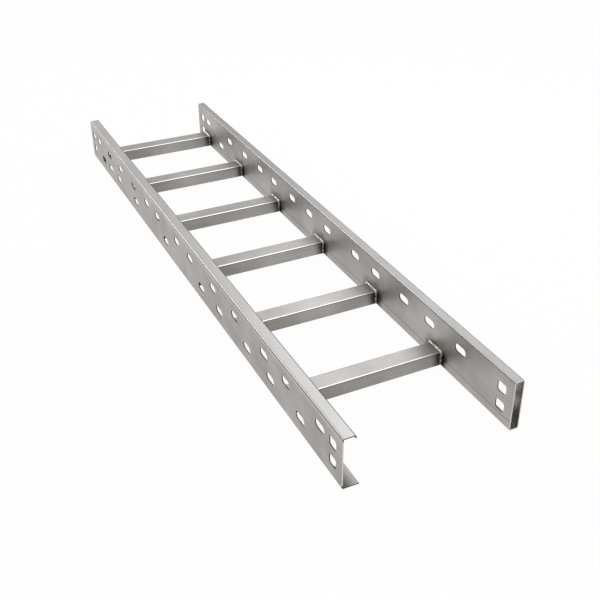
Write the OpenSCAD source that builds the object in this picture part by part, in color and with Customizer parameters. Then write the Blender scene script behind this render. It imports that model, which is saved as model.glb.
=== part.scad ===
// Cable ladder section: a slotted channel rail and a slotted box rail, joined by welded tube rungs.
// X runs across the ladder, +Y along it, +Z up. The origin is under the middle of the section, on the floor.

/* [Section] */
// Height of both side rails
rail_height = 105; // [95:5:150]
// Overall width, over both rails
overall_width = 350; // [250:5:650]
// Distance from one rung centre to the next
rung_pitch = 250; // [150:10:350]
// Number of rungs
rung_count = 6; // [2:1:10]
// Distance from the near end to the centre of the first rung
near_reach = 235; // [100:5:300]
// Distance from the centre of the last rung to the far end
far_reach = 70; // [70:5:300]

/* [Rails] */
// Thickness of the rail sheet
sheet = 2; // [1.5:0.5:3]
// Inside radius of each bend in the sheet
bend_radius = 2; // [1:0.5:3]
// Width of the channel rail's upper flange, over the web
upper_flange = 25; // [20:1:40]
// Width of the channel rail's lower flange, over the web
lower_flange = 32; // [30:1:45]
// Drop of the lip on the free edge of the channel's upper flange
lip_drop = 6; // [6:0.5:12]
// Width of the box rail
box_width = 20; // [16:1:40]

/* [Rungs] */
// Width of a rung along the ladder
rung_width = 40; // [25:1:50]
// Height of a rung
rung_height = 32; // [20:1:35]
// Wall of the rung tube
rung_wall = 2; // [1.5:0.5:3]
// Outer corner radius of the rung tube
rung_corner = 3.5; // [3.2:0.1:5]
// Leg of the weld bead between a rung and a rail
weld_leg = 4; // [3:0.5:6]

/* [Slots] */
// Length of a fixing slot, end to end
slot_length = 34; // [24:1:40]
// Height of a fixing slot
slot_height = 16; // [12:1:18]
// Length of a splice slot at the end of a rail
splice_slot_length = 24; // [20:1:32]
// Height of a splice slot
splice_slot_height = 20; // [14:1:22]
// Corner radius of a splice slot
splice_corner = 5; // [2:0.5:5.5]
// Height of the lower row of slots
lower_row = 34; // [28:1:36]
// Height of the upper row of slots
upper_row = 72; // [64:1:76]
// Distance from a rail's end to the centre of its splice slots
splice_inset = 33; // [30:1:45]

/* [Drain slots] */
// Width of a drain slot in the channel's lower flange
drain_width = 14; // [6:1:14]
// Distance from the web's outer face to the middle of the drain slots
drain_offset = 20; // [18:0.5:21]
// Metal left in the lower flange beside each rung and each end's splice slots
drain_land = 5; // [2:1:20]

/* [Access windows] */
// Length of an access window in the box rail's outer wall
window_length = 76; // [40:1:80]
// Height of an access window
window_height = 24; // [16:1:26]
// How far along the rail a window sits from the slot that it serves
window_lead = 39; // [30:1:45]
// How far a window sits below the slot that it serves
window_drop = 21.5; // [18:0.5:23]
// Corner radius of a window
window_corner = 6; // [3:0.5:8]

/* [Hidden] */
$fn = 48;

steel = "#B4B1AD";
tube_steel = "#BDBBB8";
bead_steel = "#CFCCC7";

// stations of the fixing slots, measured from the near end
left_upper = [80, 212, 310, 452, 572, 712, 800, 942, 1025, 1135, 1255, 1360, 1470];
left_lower = [155, 282, 393, 540, 645, 885, 1124, 1279, 1362, 1430];
right_upper = [160, 265, 360, 475, 565, 700, 795, 890, 1000, 1090, 1195, 1305, 1475];
right_lower = [1375];

length = near_reach + (rung_count - 1) * rung_pitch + far_reach;
bend = sheet + bend_radius;                  // outside radius of each bend
web_face = -overall_width / 2 + sheet;       // inner face of the channel's web
box_face = overall_width / 2 - box_width;    // inner face of the box rail
root_gap = bend_radius;                      // a rung stops here, clear of the channel's lower bend
rung_floor = sheet;                          // the rungs lie on the channel's lower flange
rung_top = rung_floor + rung_height;
weld_floor = rung_floor + max(bend_radius, rung_corner);
slot_land = 6;                               // least metal between two slots, or a window and a rail's end
window_floor = bend + 2;                     // lowest edge of a window that serves both rows
through = 2;                                 // how far a cutter passes each face

function rung_station(i) = near_reach + (i - 1) * rung_pitch;
function rung_y(i) = rung_station(i) - length / 2;

// a fixing slot is punched where it leaves a land beside the splice slots
function slot_fits(s) =
    let (edge = splice_inset + splice_slot_length / 2 + slot_land + slot_length / 2)
    s >= edge - slot_land && s <= length - edge + slot_land;

// a lower slot is left out where a rung's end and its weld close the web
function clear_of_rungs(s) =
    len([for (i = [1:rung_count])
         if (abs(s - rung_station(i)) < (rung_width + slot_length) / 2 + weld_leg) i]) == 0;

// a rectangle with round corners and its lower left corner at the origin
module rounded_rect(w, h, r) {
    translate([r, 0]) square([w - 2 * r, h]);
    translate([0, r]) square([w, h - 2 * r]);
    for (x = [r, w - r], y = [r, h - r]) translate([x, y]) circle(r = r);
}

// sheet bent into a closed rectangle
module bent_ring(w, h) {
    difference() {
        rounded_rect(w, h, bend);
        translate([sheet, sheet]) rounded_rect(w - 2 * sheet, h - 2 * sheet, bend_radius);
    }
}

// the channel: a web, two flanges and a short lip turned down from the upper flange
module channel_profile() {
    difference() {
        bent_ring(upper_flange, rail_height);
        translate([upper_flange - bend, -through])
            square([bend + through, rail_height - lip_drop + through]);
    }
    translate([bend, 0]) square([lower_flange - bend, sheet]);
}

// a profile drawn in X and Z, carried along the whole section
module along_ladder() {
    translate([0, length / 2, 0]) rotate([90, 0, 0]) linear_extrude(length) children();
}

// a profile drawn in Y and Z, carried across the ladder from x
module across_from(x, reach) {
    translate([x, 0, 0]) rotate([90, 0, 90]) linear_extrude(reach) children();
}

// a slot with round ends, centred
module round_ended(long, high) {
    square([long - high, high], center = true);
    for (side = [-1, 1]) translate([side * (long - high) / 2, 0]) circle(d = high);
}

module fixing_slot(station, z) {
    translate([station - length / 2, z]) round_ended(slot_length, slot_height);
}

// a splice slot is squarer, with small round corners
module splice_slot(station, z) {
    translate([station - length / 2 - splice_slot_length / 2, z - splice_slot_height / 2])
        rounded_rect(splice_slot_length, splice_slot_height, splice_corner);
}

// the slots of one rail wall: two rows of fixing slots and a pair of splice slots at each end
module slot_rows(upper, lower) {
    for (s = upper) if (slot_fits(s)) fixing_slot(s, upper_row);
    for (s = lower) if (slot_fits(s) && clear_of_rungs(s)) fixing_slot(s, lower_row);
    for (s = [splice_inset, length - splice_inset], z = [lower_row, upper_row]) splice_slot(s, z);
}

// the long slots in the channel's lower flange, one between each pair of rungs and one at each end
module drain_rows() {
    edge = rung_width / 2 + drain_land;
    first = splice_inset + splice_slot_length / 2 + drain_land;
    starts = concat([first], [for (i = [1:rung_count]) rung_station(i) + edge]);
    stops = concat([for (i = [1:rung_count]) rung_station(i) - edge], [length - first]);
    for (i = [0:rung_count]) if (stops[i] - starts[i] > 2 * drain_width)
        translate([drain_offset, (starts[i] + stops[i] - length) / 2]) rotate(90)
            round_ended(stops[i] - starts[i], drain_width);
}

// an access window, from floor to the height that serves the upper row
module window_outline(station, floor) {
    start = max(station + window_lead - window_length / 2, splice_inset);
    stop = min(station + window_lead + window_length / 2, length - 2 * slot_land);
    top = upper_row - window_drop + window_height / 2;
    if (stop - start > window_height)
        translate([start - length / 2, floor]) rounded_rect(stop - start, top - floor, window_corner);
}

// the windows of the box rail's outer wall, deeper where they serve a slot of the lower row too
module window_rows() {
    for (s = right_upper) if (slot_fits(s))
        window_outline(s, upper_row - window_drop - window_height / 2);
    for (s = concat([splice_inset], [for (s = right_lower) if (slot_fits(s)) s]))
        window_outline(s, window_floor);
}

// one end's weld bead: over the top of the rung and down both sides, from a wall at x = 0
module weld_bead() {
    foot = root_gap + weld_leg;
    section = [[0, 0], [0, weld_leg], [foot * 0.55, weld_leg * 0.6], [foot, 0]];
    translate([0, 0, rung_top]) rotate([90, 0, 0])
        linear_extrude(rung_width - 2 * rung_corner, center = true) polygon(section);
    for (side = [0, 1]) mirror([0, side, 0]) {
        translate([0, rung_width / 2, weld_floor])
            linear_extrude(rung_top - rung_corner - weld_floor) polygon(section);
        translate([0, rung_width / 2 - rung_corner, rung_top - rung_corner]) rotate([90, 0, 90])
            rotate_extrude(angle = 90) polygon([for (p = section) [rung_corner + p[1], p[0]]]);
    }
}

module left_rail() {
    color(steel) difference() {
        translate([-overall_width / 2, 0, 0]) along_ladder() channel_profile();
        across_from(-overall_width / 2 - through, sheet + 2 * through) slot_rows(left_upper, left_lower);
        translate([-overall_width / 2, 0, -through]) linear_extrude(sheet + 2 * through) drain_rows();
    }
}

module right_rail() {
    color(steel) difference() {
        translate([box_face, 0, 0]) along_ladder() bent_ring(box_width, rail_height);
        across_from(box_face - through, sheet + 2 * through) slot_rows(right_upper, right_lower);
        across_from(overall_width / 2 - sheet - through, sheet + 2 * through) window_rows();
    }
}

module rung(i) {
    start = web_face + root_gap;
    color(tube_steel) translate([0, rung_y(i) - rung_width / 2, rung_floor])
        across_from(start, box_face - root_gap - start) difference() {
            rounded_rect(rung_width, rung_height, rung_corner);
            translate([rung_wall, rung_wall])
                rounded_rect(rung_width - 2 * rung_wall, rung_height - 2 * rung_wall, rung_corner - rung_wall);
        }
}

module weld_left(i) {
    color(bead_steel) translate([web_face, rung_y(i), 0]) weld_bead();
}

module weld_right(i) {
    color(bead_steel) translate([box_face, rung_y(i), 0]) mirror([1, 0, 0]) weld_bead();
}

left_rail();
right_rail();
for (i = [1:rung_count]) {
    rung(i);
    weld_left(i);
    weld_right(i);
}
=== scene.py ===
import math

import bpy
from mathutils import Matrix, Vector


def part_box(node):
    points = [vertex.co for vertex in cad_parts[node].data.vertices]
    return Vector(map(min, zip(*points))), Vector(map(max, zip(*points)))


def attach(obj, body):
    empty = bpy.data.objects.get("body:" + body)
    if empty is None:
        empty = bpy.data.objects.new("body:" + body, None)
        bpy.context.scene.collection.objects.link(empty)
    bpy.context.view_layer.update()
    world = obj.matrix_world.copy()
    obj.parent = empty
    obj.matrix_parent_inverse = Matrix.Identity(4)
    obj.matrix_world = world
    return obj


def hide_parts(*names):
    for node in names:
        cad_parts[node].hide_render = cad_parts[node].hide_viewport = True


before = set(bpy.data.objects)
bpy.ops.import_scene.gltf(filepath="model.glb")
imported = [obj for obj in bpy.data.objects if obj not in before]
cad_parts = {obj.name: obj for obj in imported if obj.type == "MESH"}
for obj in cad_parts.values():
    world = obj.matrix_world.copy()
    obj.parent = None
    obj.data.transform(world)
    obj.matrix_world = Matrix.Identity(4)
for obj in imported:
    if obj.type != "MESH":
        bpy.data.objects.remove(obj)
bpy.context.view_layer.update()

mm = 0.001


# ---- small helpers

def hexColour(code):
    # sRGB hex to the linear values that nodes hold
    channels = [int(code[i:i + 2], 16) / 255 for i in (1, 3, 5)]
    linear = [c / 12.92 if c <= 0.04045 else ((c + 0.055) / 1.055) ** 2.4 for c in channels]
    return (*linear, 1.0)


def addNode(tree, kind, settings=None, inputs=None):
    # one node with its settings; an input is a fixed value or another node's output
    node = tree.nodes.new(kind)
    for name, value in (settings or {}).items():
        setattr(node, name, value)
    for socket, value in (inputs or {}).items():
        if isinstance(value, bpy.types.NodeSocket):
            tree.links.new(value, node.inputs[socket])
        else:
            node.inputs[socket].default_value = value
    return node


def maths(tree, operation, *values):
    # the result of one operation on numbers or other nodes' outputs
    return addNode(tree, "ShaderNodeMath", {"operation": operation}, dict(enumerate(values))).outputs[0]


def product(tree, first, *others):
    result = first
    for other in others:
        result = maths(tree, "MULTIPLY", result, other)
    return result


def fade(tree, value, start, stop, atStart, atStop):
    # a share that changes smoothly while a value goes from start to stop
    return addNode(tree, "ShaderNodeMapRange", {"interpolation_type": "SMOOTHSTEP"}, {
        "Value": value, "From Min": start, "From Max": stop,
        "To Min": atStart, "To Max": atStop}).outputs["Result"]


def newMaterial(name):
    material = bpy.data.materials.new(name)
    material.use_nodes = True
    material.node_tree.nodes.clear()
    return material, material.node_tree


def rampOf(tree, source, stops):
    # a colour ramp from (place, hex) pairs
    ramp = addNode(tree, "ShaderNodeValToRGB", inputs={"Fac": source})
    elements = ramp.color_ramp.elements
    while len(elements) < len(stops):
        elements.new(0.5)
    for element, (place, code) in zip(elements, stops):
        element.position = place
        element.color = hexColour(code)
    return ramp.outputs["Color"]


def wearMaterial(piece, material):
    # puts one material on all of a piece's slots
    if not piece.data.materials:
        piece.data.materials.append(material)
    for slot in piece.material_slots:
        slot.material = material


def deselectAll():
    if bpy.context.object and bpy.context.object.mode != "OBJECT":
        bpy.ops.object.mode_set(mode="OBJECT")
    bpy.ops.object.select_all(action="DESELECT")


def makeActive(piece):
    deselectAll()
    piece.select_set(True)
    bpy.context.view_layer.objects.active = piece


# ---- places that come from the frame

rungNames = sorted((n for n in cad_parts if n.startswith("rung_")), key=lambda n: int(n.split("_")[1]))
rungBoxes = {name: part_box(name) for name in rungNames}
rungCentres = [(rungBoxes[n][0][1] + rungBoxes[n][1][1]) / 2 for n in rungNames]
rungPitch = rungCentres[1] - rungCentres[0]
firstLow, firstHigh = rungBoxes[rungNames[0]]
rungWidth = firstHigh[1] - firstLow[1]
rungTop = firstHigh[2]
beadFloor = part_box("weld_left_1")[0][2]
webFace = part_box("weld_left_1")[0][0]
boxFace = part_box("weld_right_1")[1][0]
railLow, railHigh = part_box("right_rail")
railTop = railHigh[2]
print("frame read:", len(rungNames), "rungs at", round(rungPitch * 1000), "mm")


# ---- materials

# what the rails and the rungs share
steelLook = {
    "grainWidth": 1.6 * mm,      # real brushing is 0.1 to 0.3 mm wide, too fine to show, so this is coarser
    "grainLength": 160 * mm,
    "cloudSize": 90 * mm,        # soft patches left by handling and rolling
    "cloudShare": 0.5,
    "toneEnds": (0.34, 0.66),    # where the blend of grain and patches is at its darkest and lightest
    "roughness": 0.42,
    "roughnessSpread": 0.12,
    "bumpHeight": 0.03 * mm,
    "bumpStrength": 0.5,
    "bendShade": "#7A7672",          # painted shade on the bends, below their painted highlight
    "oxideAndShade": "#48433E",          # oxide beside the weld, darkened further by painted shade in the joint's corner
    "oxideAndShadeEdge": "#6E675F",
    "oxideAndShadeFull": 0.7,            # share of oxide and painted shade at which their colour is at its darkest
    "oxideAndShadeStart": 5 * mm,        # distance from the joint at which it starts to fade
    "oxideAndShadeReach": 27 * mm,
    "oxideAndShadeStrength": 0.96,
    "oxideAndShadeAbove": 0.45,          # share that reaches the top of the rung and the rail above it, where less painted shade falls
    "raggedSize": 14 * mm,       # size of the waves in the oxide's edge, and how deep they are
    "raggedDepth": 12 * mm,
}

# parts of a unit normal that tell which way a face looks
facingPart = {
    "start": 0.12,               # it starts to count as facing that way
    "full": 0.22,                # and counts fully
    "leaning": 0.3,              # it clearly leans that way
    "halfway": 0.5,              # it looks more that way than not
    "straight": 0.9,             # it looks straight that way
}

rampScale = 5.0                  # spreads heights in metres over a ramp, which runs from 0 to 1


def brushedColour(tree, place, look, alongX):
    # long fine grain over soft patches, and the grain by itself for gloss and bump
    fine, coarse = 1 / steelLook["grainWidth"], 1 / steelLook["grainLength"]
    stretched = addNode(tree, "ShaderNodeMapping", inputs={
        "Vector": place, "Scale": (coarse, fine, fine) if alongX else (fine, coarse, fine)}).outputs["Vector"]
    grain = addNode(tree, "ShaderNodeTexNoise", inputs={
        "Vector": stretched, "Scale": 1.0, "Detail": 3.0, "Roughness": 0.6}).outputs["Fac"]
    clouds = addNode(tree, "ShaderNodeTexNoise", inputs={
        "Vector": place, "Scale": 1 / steelLook["cloudSize"], "Detail": 2.0}).outputs["Fac"]
    blend = addNode(tree, "ShaderNodeMix", {"data_type": "FLOAT"}, {
        "Factor": steelLook["cloudShare"], "A": grain, "B": clouds}).outputs["Result"]
    return rampOf(tree, blend, list(zip(steelLook["toneEnds"], (look["dark"], look["light"])))), grain


def placeAndNormal(tree):
    # where a point is in the row's frame, and which way its face looks
    place = addNode(tree, "ShaderNodeTexCoord").outputs["Object"]
    surface = addNode(tree, "ShaderNodeNewGeometry").outputs["Normal"]
    at = addNode(tree, "ShaderNodeSeparateXYZ", inputs={"Vector": place}).outputs
    normal = addNode(tree, "ShaderNodeSeparateXYZ", inputs={"Vector": surface}).outputs
    return place, at, normal


def paintOver(tree, under, share, code):
    # one colour laid over another by a share from 0 to 1
    over = hexColour(code) if isinstance(code, str) else code
    return addNode(tree, "ShaderNodeMix", {"data_type": "RGBA"}, {0: share, 6: under, 7: over}).outputs[2]


def bandShare(tree, value, rise, full, fall, gone):
    # a share that is 1 while a value is between full and fall, with soft ends
    dark, light = "#000000", "#FFFFFF"
    return rampOf(tree, value, [(rise, dark), (full, light), (fall, light), (gone, dark)])


def heightBand(tree, at, base, band):
    # the same for heights, given from a base
    height = maths(tree, "MULTIPLY", at["Z"], rampScale)
    return bandShare(tree, height, *(rampScale * (base + edge) for edge in band))


def facingShare(tree, value, sign):
    # 1 where a part of the normal clearly points one way along its axis
    signed = maths(tree, "MULTIPLY", value, sign)
    return addNode(tree, "ShaderNodeMapRange", inputs={
        "Value": signed, "From Min": facingPart["start"], "From Max": facingPart["full"]}).outputs["Result"]


def outsideOf(tree, value, low, high):
    # 1 where a value is below low or above high, and 0 between them
    middle, half = (low + high) / 2, (high - low) / 2
    offset = maths(tree, "ABSOLUTE", maths(tree, "SUBTRACT", value, middle))
    return maths(tree, "GREATER_THAN", offset, half)


def paintBends(tree, colour, across, up, look):
    # a painted highlight along each upper bend, and painted shade below it
    near = facingShare(tree, across, -1.0)
    highlighted = product(tree, near, bandShare(tree, up, *look["highlightBand"]))
    shaded = product(tree, near, bandShare(tree, up, *look["bendShadeBand"]))
    colour = paintOver(tree, colour, shaded, steelLook["bendShade"])
    return paintOver(tree, colour, highlighted, look["highlight"])


def oxideAndShadeShare(tree, place, distance):
    # how deep the oxide and painted shade are at this distance from the joint, with a ragged edge
    ragged = addNode(tree, "ShaderNodeTexNoise", inputs={
        "Vector": place, "Scale": 1 / steelLook["raggedSize"], "Detail": 2.0}).outputs["Fac"]
    depth = steelLook["raggedDepth"]
    uneven = maths(tree, "MULTIPLY_ADD", ragged, depth, -depth / 2)
    edge = maths(tree, "ADD", distance, uneven)
    return fade(tree, edge, steelLook["oxideAndShadeStart"], steelLook["oxideAndShadeReach"], steelLook["oxideAndShadeStrength"], 0.0)


def paintOxideAndShade(tree, colour, place, distance, weakening):
    # oxide with painted shade in the joint's corner, weaker on faces that look up
    share = product(tree, oxideAndShadeShare(tree, place, distance), weakening)
    oxideAndShade = rampOf(tree, share, [(0.0, steelLook["oxideAndShadeEdge"]), (steelLook["oxideAndShadeFull"], steelLook["oxideAndShade"])])
    return paintOver(tree, colour, share, oxideAndShade)


def finishSteel(tree, colour, grain):
    # bare metal: gloss and a very shallow bump both follow the grain
    half = steelLook["roughnessSpread"] / 2
    rough = addNode(tree, "ShaderNodeMapRange", inputs={
        "Value": grain, "To Min": steelLook["roughness"] - half,
        "To Max": steelLook["roughness"] + half}).outputs["Result"]
    bump = addNode(tree, "ShaderNodeBump", inputs={
        "Strength": steelLook["bumpStrength"], "Distance": steelLook["bumpHeight"],
        "Height": grain}).outputs["Normal"]
    shader = addNode(tree, "ShaderNodeBsdfPrincipled", inputs={
        "Metallic": 1.0, "Base Color": colour, "Roughness": rough, "Normal": bump})
    addNode(tree, "ShaderNodeOutputMaterial", inputs={"Surface": shader.outputs["BSDF"]})


# a band lists where something rises, is full, falls and is gone
railLook = {
    "dark": "#9A9693",           # the warm mid grey of brushed stainless sheet
    "light": "#BDB9B6",
    "highlight": "#AFACA8",          # painted highlight along a bend, by the upward part of the normal
    "highlightBand": (0.62, 0.72, 0.90, 0.96),
    "bendShadeBand": (0.12, 0.22, 0.50, 0.62),
    "lip": "#36332F",            # painted shade on the bends that face outward
    "lipBand": (0.05, 0.15, 0.93, 0.98),
    "channelTop": "#ADADAC",     # painted light: faces that look up are less warm than the webs
    "boxTop": "#8D8E91",         # and painted a shade darker on the box rail
    "topShare": 0.7,
    "seam": 19 * mm,             # height of the fold line on the box rail's inner wall, painted as a line of shade
    "seamBand": (-1.6 * mm, -0.6 * mm, 0.6 * mm, 1.6 * mm),         # heights from it
    "seamShade": "#8B8784",
    "belowSeam": 0.3,            # how much paler the wall is below it, as painted light
    "webShine": "#D2CECA",       # painted highlight along the channel's web, below its upper bend
    "webShineBand": (-9.5 * mm, -8.0 * mm, -5.0 * mm, -4.0 * mm),   # heights from the rail's top
    "webShineShare": 0.6,
    "bendZone": 7 * mm,          # height of a rail's bent corner, with the lip
    "slotWallShade": "#45423E",       # painted shade on a slot's wall, inside the sheet's thickness
    "cutDepth": 0.2 * mm,        # how far in from an end counts as its cut face
    "cutBright": "#D3D0CC",      # fresh saw cut across the web and the box
    "cutDull": "#55514D",        # the flanges' ends are left as sheared
    "cornerShade": "#4A4642",    # painted shade in the channel's lower inside corner, under the upper flange
    "cornerStart": 2 * mm,       # distance from the web at which it starts to thin out
    "cornerReach": 32 * mm,
    "cornerLeft": 0.35,          # share of it that is left past its reach
    "oxideAndShadeOver": (-6 * mm, 4 * mm),    # heights from the rung's top over which the oxide and painted shade weaken
    "faceGap": 0.3 * mm,         # how far past the two faces that meet the rungs the oxide and painted shade still show
}


def paintRailFaces(tree, colour, at, normal, inChannel, inBox):
    # painted light on the tops, the box rail's fold line as painted shade and light, and a painted highlight
    # along the channel's web
    look = railLook
    # painted light: faces that look up take the tops' tone
    upward = maths(tree, "GREATER_THAN", normal["Z"], facingPart["straight"])
    top = paintOver(tree, hexColour(look["channelTop"]), inBox, look["boxTop"])
    colour = paintOver(tree, colour, product(tree, upward, look["topShare"]), top)

    inward = facingShare(tree, normal["X"], -1.0)
    innerWall = product(tree, inward, inBox)
    below = maths(tree, "LESS_THAN", at["Z"], look["seam"])
    seam = heightBand(tree, at, look["seam"], look["seamBand"])
    # painted light on the wall below the fold, and painted shade along the fold
    colour = paintOver(tree, colour, product(tree, innerWall, below, look["belowSeam"]), look["light"])
    colour = paintOver(tree, colour, product(tree, innerWall, seam), look["seamShade"])

    # painted highlight along the channel's web
    webHighlightBand = heightBand(tree, at, railTop, look["webShineBand"])
    webHighlightShare = product(tree, inward, webHighlightBand, inChannel, look["webShineShare"])
    return paintOver(tree, colour, webHighlightShare, look["webShine"])


def paintRailCuts(tree, colour, at, normal, inChannel):
    # painted shade on the slot walls, the cut ends, and painted shade in the channel's lower inside corner
    look = railLook
    # between the flanges every face that was bent looks sideways, so one that doesn't is a slot's wall
    turned = maths(tree, "LESS_THAN", maths(tree, "ABSOLUTE", normal["X"]), facingPart["halfway"])
    flange = outsideOf(tree, at["Z"], look["bendZone"], railTop - look["bendZone"])
    end = outsideOf(tree, at["Y"], railLow[1] + look["cutDepth"], railHigh[1] - look["cutDepth"])
    kept = maths(tree, "MAXIMUM", flange, end)
    wall = maths(tree, "GREATER_THAN", maths(tree, "SUBTRACT", turned, kept), 0.5)
    # painted shade on the slot walls
    colour = paintOver(tree, colour, wall, look["slotWallShade"])

    colour = paintOver(tree, colour, end, look["cutBright"])
    colour = paintOver(tree, colour, product(tree, end, flange, inChannel), look["cutDull"])

    # painted shade in the channel's lower inside corner, darkest by the web
    upward = maths(tree, "GREATER_THAN", normal["Z"], facingPart["leaning"])
    low = maths(tree, "LESS_THAN", at["Z"], look["bendZone"])
    byWeb = fade(tree, at["X"], webFace + look["cornerStart"], webFace + look["cornerReach"],
                 1.0, look["cornerLeft"])
    return paintOver(tree, colour, product(tree, upward, low, byWeb, inChannel), look["cornerShade"])


def distanceFromRungs(tree, at, above):
    # from the nearest rung's outline, on the faces that the rungs meet
    along = maths(tree, "SUBTRACT", at["Y"], rungCentres[0])
    nearest = maths(tree, "ROUND", maths(tree, "DIVIDE", along, rungPitch))
    counted = addNode(tree, "ShaderNodeClamp", inputs={
        "Value": nearest, "Min": 0.0, "Max": len(rungNames) - 1.0}).outputs["Result"]
    centre = product(tree, counted, rungPitch)
    fromCentre = maths(tree, "ABSOLUTE", maths(tree, "SUBTRACT", along, centre))
    beside = maths(tree, "SUBTRACT", fromCentre, rungWidth / 2)
    gap = railLook["faceGap"]
    corner = addNode(tree, "ShaderNodeCombineXYZ", inputs={
        "X": maths(tree, "MAXIMUM", beside, 0.0),
        "Y": maths(tree, "MAXIMUM", above, 0.0),
        # other faces count as a metre away
        "Z": outsideOf(tree, at["X"], webFace - gap, boxFace + gap)}).outputs["Vector"]
    return addNode(tree, "ShaderNodeVectorMath", {"operation": "LENGTH"}, {0: corner}).outputs["Value"]


def railSteel():
    # stainless sheet brushed along the rail: painted highlights and painted shade along the bends, painted
    # light on the tops, painted shade on the slot walls and in the channel's lower corner, and dark oxide
    # with painted shade by the welds
    material, tree = newMaterial("brushed stainless sheet")
    place, at, normal = placeAndNormal(tree)
    colour, grain = brushedColour(tree, place, railLook, False)
    inChannel = maths(tree, "LESS_THAN", at["X"], 0.0)
    inBox = maths(tree, "SUBTRACT", 1.0, inChannel)
    colour = paintRailFaces(tree, colour, at, normal, inChannel, inBox)
    colour = paintBends(tree, colour, normal["X"], normal["Z"], railLook)
    outward = facingShare(tree, normal["X"], 1.0)
    # painted shade along the bends that face outward
    lip = product(tree, outward, bandShare(tree, normal["Z"], *railLook["lipBand"]))
    colour = paintOver(tree, colour, lip, railLook["lip"])
    colour = paintRailCuts(tree, colour, at, normal, inChannel)

    above = maths(tree, "SUBTRACT", at["Z"], rungTop)
    distance = distanceFromRungs(tree, at, above)
    weakening = fade(tree, above, *railLook["oxideAndShadeOver"], 1.0, steelLook["oxideAndShadeAbove"])
    finishSteel(tree, paintOxideAndShade(tree, colour, place, distance, weakening), grain)
    return material


rungLook = {
    "dark": "#928F8C",
    "light": "#B0AEAC",
    "highlight": "#E6E4E1",          # painted highlight along a corner, by the upward part of the normal
    "highlightBand": (0.48, 0.58, 0.86, 0.94),
    "bendShadeBand": (0.08, 0.18, 0.38, 0.50),
    "shadeReach": 220 * mm,       # how far along a rung the painted shade on its sides reaches, from the channel
    "shadeStrength": 0.55,
    "oxideAndShadeOver": (0.3, 0.8),     # upward part of the normal over which the oxide and painted shade weaken
}


def tubeSteel():
    # stainless tube brushed along its length, with painted highlights on its upper corners, painted shade on
    # its sides near the channel, and dark oxide with painted shade at both ends
    material, tree = newMaterial("brushed stainless tube")
    place, at, normal = placeAndNormal(tree)
    colour, grain = brushedColour(tree, place, rungLook, True)
    colour = paintBends(tree, colour, normal["Y"], normal["Z"], rungLook)
    # painted shade: the sides darken towards the channel
    onSide = maths(tree, "GREATER_THAN", maths(tree, "ABSOLUTE", normal["Y"]), facingPart["straight"])
    sideShade = fade(tree, at["X"], webFace, webFace + rungLook["shadeReach"], rungLook["shadeStrength"], 0.0)
    colour = paintOver(tree, colour, product(tree, onSide, sideShade), steelLook["oxideAndShadeEdge"])

    middle, half = (webFace + boxFace) / 2, (boxFace - webFace) / 2
    fromMiddle = maths(tree, "ABSOLUTE", maths(tree, "SUBTRACT", at["X"], middle))
    distance = maths(tree, "SUBTRACT", half, fromMiddle)
    weakening = fade(tree, normal["Z"], *rungLook["oxideAndShadeOver"], 1.0, steelLook["oxideAndShadeAbove"])
    finishSteel(tree, paintOxideAndShade(tree, colour, place, distance, weakening), grain)
    return material


weldLook = {
    "patchSize": 5 * mm,
    # tones for the pale top, and for the darker sides below it
    "brushed": [(0.36, "#9C9790"), (0.5, "#C2BEB8"), (0.64, "#E4E2DE")],
    "dull": [(0.36, "#4E4943"), (0.5, "#7B756E"), (0.64, "#A49F98")],
    "dullFrom": 3 * mm,          # depths below the rung's top over which the pale top turns darker
    "brushedFrom": 0.5 * mm,
    "gritSize": 1.2 * mm,
    "gritHeight": 0.15 * mm,
    "gritStrength": 0.6,
    "roughness": 0.42,
}


def weldMetal():
    # stainless filler: pale on top, darker and a little grainy down the sides
    look = weldLook
    material, tree = newMaterial("stainless weld metal")
    place = addNode(tree, "ShaderNodeTexCoord").outputs["Object"]
    at = addNode(tree, "ShaderNodeSeparateXYZ", inputs={"Vector": place}).outputs
    patches = addNode(tree, "ShaderNodeTexNoise", inputs={
        "Vector": place, "Scale": 1 / look["patchSize"], "Detail": 3.0}).outputs["Fac"]
    onTop = fade(tree, at["Z"], rungTop - look["dullFrom"], rungTop - look["brushedFrom"], 0.0, 1.0)
    # pale on top, darker down the sides
    brushed = rampOf(tree, patches, look["brushed"])
    colour = paintOver(tree, rampOf(tree, patches, look["dull"]), onTop, brushed)
    grit = addNode(tree, "ShaderNodeTexNoise", inputs={
        "Vector": place, "Scale": 1 / look["gritSize"], "Detail": 2.0}).outputs["Fac"]
    bump = addNode(tree, "ShaderNodeBump", inputs={
        "Height": grit, "Strength": look["gritStrength"], "Distance": look["gritHeight"]}).outputs["Normal"]
    shader = addNode(tree, "ShaderNodeBsdfPrincipled", inputs={
        "Metallic": 1.0, "Roughness": look["roughness"], "Base Color": colour, "Normal": bump})
    addNode(tree, "ShaderNodeOutputMaterial", inputs={"Surface": shader.outputs["BSDF"]})
    return material


railFinish, tubeFinish, beadFinish = railSteel(), tubeSteel(), weldMetal()
for name in ("left_rail", "right_rail"):
    wearMaterial(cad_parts[name], railFinish)
for name in rungNames:
    wearMaterial(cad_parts[name], tubeFinish)
print("materials made")


# ---- weld beads

beadLook = {
    "radius": 3.5 * mm,          # of the bead's round section
    "offRung": 0.8 * mm,         # centre of the section, off the rung's surface
    "offWall": 2.3 * mm,         # and off the rail's wall
    "offFloor": 0.6 * mm,        # how far above the plain weld's foot the bead starts
    "ripple": 2.4 * mm,          # length of one ripple
    "swell": (0.93, 1.07, 1.02), # the section's size through one ripple
    "taper": 0.8,                # the first and last two rings are smaller
    "sides": 10,
    "cornerRadius": 1.6 * mm,    # the filler stands a little proud of the rung's corner
    "roughness": 0.45 * mm,      # random push of the bead's surface, different on each bead
    "sameForAll": 0.3,           # how alike the pushes are in size
    "outward": 0.7,              # and how far they follow the surface's normal
}


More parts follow.
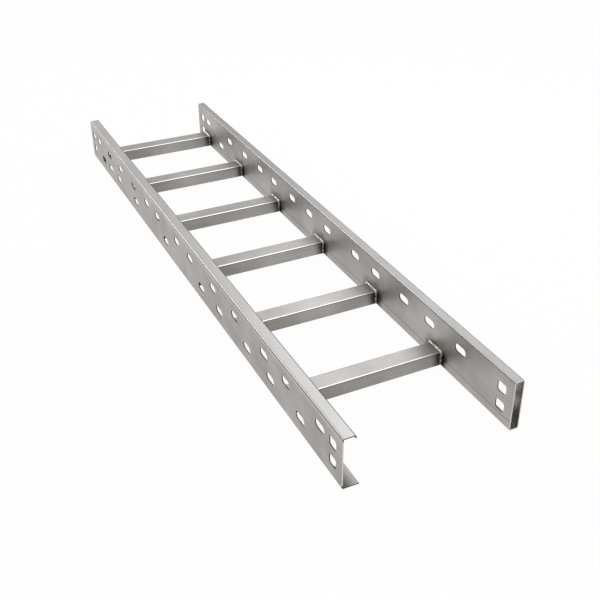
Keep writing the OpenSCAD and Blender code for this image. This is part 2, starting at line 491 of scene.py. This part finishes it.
def beadPath():
    # the section's centre on a rung whose middle is y = 0: up the near side, over the top, down the far side;
    # each point has a place across the rung, a height and a heading
    look = beadLook
    foot = beadFloor + look["offFloor"]
    side = rungWidth / 2 + look["offRung"]
    turnY, turnZ = rungWidth / 2 - look["cornerRadius"], rungTop - look["cornerRadius"]
    turnRadius = look["cornerRadius"] + look["offRung"]
    ring = look["ripple"] / len(look["swell"])
    up = turnZ - foot
    steps = max(3, round(up / ring))
    turn = max(3, round(turnRadius * math.pi / 2 / ring))
    across = max(3, round(2 * turnY / ring))
    quarters = [math.pi / 2 * (k + 1) / turn for k in range(turn)]
    path = [(-side, foot + up * (k + 1) / steps, 0.0) for k in range(steps)]
    path += [(-turnY - turnRadius * math.cos(a), turnZ + turnRadius * math.sin(a), a) for a in quarters]
    path += [(-turnY + 2 * turnY * (k + 1) / across, rungTop + look["offRung"], math.pi / 2)
             for k in range(across)]
    path += [(turnY + turnRadius * math.sin(a), turnZ + turnRadius * math.cos(a), math.pi / 2 + a)
             for a in quarters]
    path += [(side, turnZ - up * (k + 1) / steps, math.pi) for k in range(steps)]
    return (-side, foot, 0.0), path


def stepBead(shift, swell, centre):
    # pulls the open end of the bead on by one ring and swells or narrows it
    bpy.ops.mesh.extrude_region_move(TRANSFORM_OT_translate={"value": shift})
    bpy.ops.transform.resize(value=(swell, swell, swell), center_override=centre)


def modelBead():
    # one bead by the wall at x = 0
    look = beadLook
    (lastY, lastZ, lastHeading), path = beadPath()
    deselectAll()
    bpy.ops.mesh.primitive_circle_add(vertices=look["sides"], radius=look["radius"],
                                      location=(look["offWall"], lastY, lastZ))
    bead = bpy.context.object
    bpy.ops.object.transform_apply(location=True)
    bpy.ops.object.mode_set(mode="EDIT")
    bpy.ops.mesh.select_all(action="SELECT")
    bpy.ops.mesh.edge_face_add()
    lastSwell = 1.0
    for k, (y, z, heading) in enumerate(path):
        swell = look["swell"][k % len(look["swell"])]
        if k < 2 or k > len(path) - 3:
            swell *= look["taper"]
        centre = (look["offWall"], y, z)
        stepBead((0, y - lastY, z - lastZ), swell / lastSwell, centre)
        if heading != lastHeading:
            # a plain rotate about the rung's length; its sign is turned round when there is no window
            bpy.ops.transform.rotate(value=heading - lastHeading, orient_axis="X", center_override=centre)
        lastY, lastZ, lastHeading, lastSwell = y, z, heading, swell
    bpy.ops.mesh.select_all(action="SELECT")
    bpy.ops.mesh.normals_make_consistent(inside=False)
    bpy.ops.object.mode_set(mode="OBJECT")
    bpy.ops.object.shade_smooth()
    return bead


def placeBead(model, name, wall, middle, mirrored, seed):
    # a copy of the bead at one joint, with its own mesh
    bead = model.copy()
    bead.data = model.data.copy()
    bead.name = bead.data.name = name
    bpy.context.collection.objects.link(bead)
    makeActive(bead)
    if mirrored:
        bead.scale = (-1, 1, 1)
    bead.location = (wall, middle, 0)
    bpy.ops.object.transform_apply(location=True, rotation=False, scale=True)
    bpy.ops.object.mode_set(mode="EDIT")
    bpy.ops.mesh.select_all(action="SELECT")
    bpy.ops.transform.vertex_random(offset=beadLook["roughness"], uniform=beadLook["sameForAll"],
                                    normal=beadLook["outward"], seed=seed)
    bpy.ops.mesh.normals_make_consistent(inside=False)
    bpy.ops.object.mode_set(mode="OBJECT")
    wearMaterial(bead, beadFinish)
    return bead


beadModel = modelBead()
for index, middle in enumerate(rungCentres, start=1):
    for side, wall in (("left", webFace), ("right", boxFace)):
        bead = placeBead(beadModel, f"bead_{side}_{index}", wall, middle, side == "right",
                         index * 2 + (side == "right"))
        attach(bead, "root")
        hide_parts(f"weld_{side}_{index}")
bpy.data.objects.remove(beadModel)
print("weld beads made")


# ---- floor, light and camera

studio = {
    "floorSize": 60.0,
    "floorDrop": 0.5 * mm,       # keeps the floor off the rails' undersides
    "floorColour": "#F5EFEA",
    "ambient": 0.7,
    "whiteShare": 0.97,          # how much of the floor is plain white to the eye; the rest takes the shadow
    "reflectedShare": 0.75,      # and how much of it is in a reflection
}

# each lamp: its place, what it faces, its size and its power
lamps = {
    "topLight": ((1.0, 0.75, 1.6), (0.0, -0.6, 0.1), (1.5, 1.5), 9),
    "edgeLight": ((-2.32, 3.43, 1.83), (0.0, 0.0, 0.05), (1.6, 1.2), 36),
    "frontLight": ((1.34, -1.88, 3.3), (0.0, 0.0, 0.05), (1.8, 1.8), 26),
}

cameraLook = {
    "place": (-690.8 * mm, -1719.6 * mm, 1023.1 * mm),
    "azimuth": 25.28,            # degrees, from +Y towards +X
    "elevation": 31.71,          # degrees, looking down
    "roll": -0.58,
    "lens": 53.89,
    "sensor": 36,
}


def seenAsWhite(tree, plain, reflected):
    # for rays that show the background: straight from the camera or through glass, and in a reflection
    path = addNode(tree, "ShaderNodeLightPath").outputs
    direct = maths(tree, "MAXIMUM", path["Is Camera Ray"], path["Is Transmission Ray"])
    share = maths(tree, "MULTIPLY", direct, plain)
    return maths(tree, "MULTIPLY_ADD", path["Is Glossy Ray"], reflected, share)


def makeFloor():
    deselectAll()
    bpy.ops.mesh.primitive_plane_add(size=studio["floorSize"], location=(0, 0, -studio["floorDrop"]))
    floor = bpy.context.object
    floor.name = "floor"
    material, tree = newMaterial("plain pale floor")
    matt = addNode(tree, "ShaderNodeBsdfDiffuse", inputs={"Color": hexColour(studio["floorColour"])})
    white = addNode(tree, "ShaderNodeEmission", inputs={"Color": (1, 1, 1, 1), "Strength": 1.0})
    mix = addNode(tree, "ShaderNodeMixShader", inputs={
        0: seenAsWhite(tree, studio["whiteShare"], studio["reflectedShare"]),
        1: matt.outputs[0], 2: white.outputs[0]})
    addNode(tree, "ShaderNodeOutputMaterial", inputs={"Surface": mix.outputs[0]})
    wearMaterial(floor, material)


def makeWorld():
    world = bpy.data.worlds.new("studio")
    bpy.context.scene.world = world
    world.use_nodes = True
    tree = world.node_tree
    tree.nodes.clear()
    strength = addNode(tree, "ShaderNodeMapRange", inputs={
        "Value": seenAsWhite(tree, 1.0, 1.0), "To Min": studio["ambient"], "To Max": 1.0}).outputs["Result"]
    light = addNode(tree, "ShaderNodeBackground", inputs={"Color": (1, 1, 1, 1), "Strength": strength})
    addNode(tree, "ShaderNodeOutputWorld", inputs={"Surface": light.outputs[0]})


def addLamp(name, place, aim, size, power):
    # a soft box at a place, turned to face another
    place, aim = Vector(place), Vector(aim)
    deselectAll()
    bpy.ops.object.light_add(type="AREA", location=place)
    lamp = bpy.context.object
    lamp.name = name
    lamp.data.shape = "RECTANGLE"
    lamp.data.size, lamp.data.size_y = size
    lamp.data.energy = power
    lamp.rotation_euler = (aim - place).to_track_quat("-Z", "Y").to_euler()


def makeCamera():
    a, e = math.radians(cameraLook["azimuth"]), math.radians(cameraLook["elevation"])
    ahead = Vector((math.sin(a) * math.cos(e), math.cos(a) * math.cos(e), -math.sin(e)))
    roll = Matrix.Rotation(math.radians(cameraLook["roll"]), 4, "Z").to_quaternion()
    camera = bpy.data.cameras.new("camera")
    camera.sensor_width = cameraLook["sensor"]
    camera.lens = cameraLook["lens"]
    camera.clip_start, camera.clip_end = 0.05, 100
    holder = bpy.data.objects.new("camera", camera)
    bpy.context.collection.objects.link(holder)
    holder.rotation_mode = "QUATERNION"
    holder.rotation_quaternion = ahead.to_track_quat("-Z", "Y") @ roll
    holder.location = cameraLook["place"]
    bpy.context.scene.camera = holder


makeFloor()
makeWorld()
for name, settings in lamps.items():
    addLamp(name, *settings)
makeCamera()
bpy.context.scene.view_settings.view_transform = "Standard"
print("studio made")
